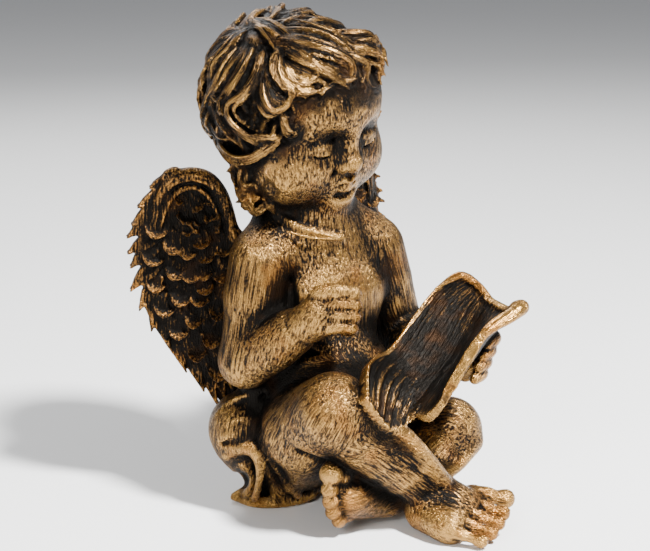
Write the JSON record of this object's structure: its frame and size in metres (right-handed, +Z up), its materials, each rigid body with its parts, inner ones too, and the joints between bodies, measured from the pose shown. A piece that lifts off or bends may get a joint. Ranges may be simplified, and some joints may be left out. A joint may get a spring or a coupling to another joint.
{
  "type": "seated angel figurine",
  "caption": "Cast metal ornament: a chubby winged child sits cross-legged and reads an open book held on the lap.",
  "frame": {"origin": "middle of the bounding box, at the ground plane", "axes": "+Z up, the child faces -Y, its right hand is on the -X side"},
  "size_m": [0.1214, 0.124, 0.1899],
  "materials": {
    "bronze": "antiqued, near-black in the recesses, pale gold brushed over the raised areas"
  },
  "bodies": {
    "root": {"angel_figure": "bronze"}
  },
  "joints": []
}
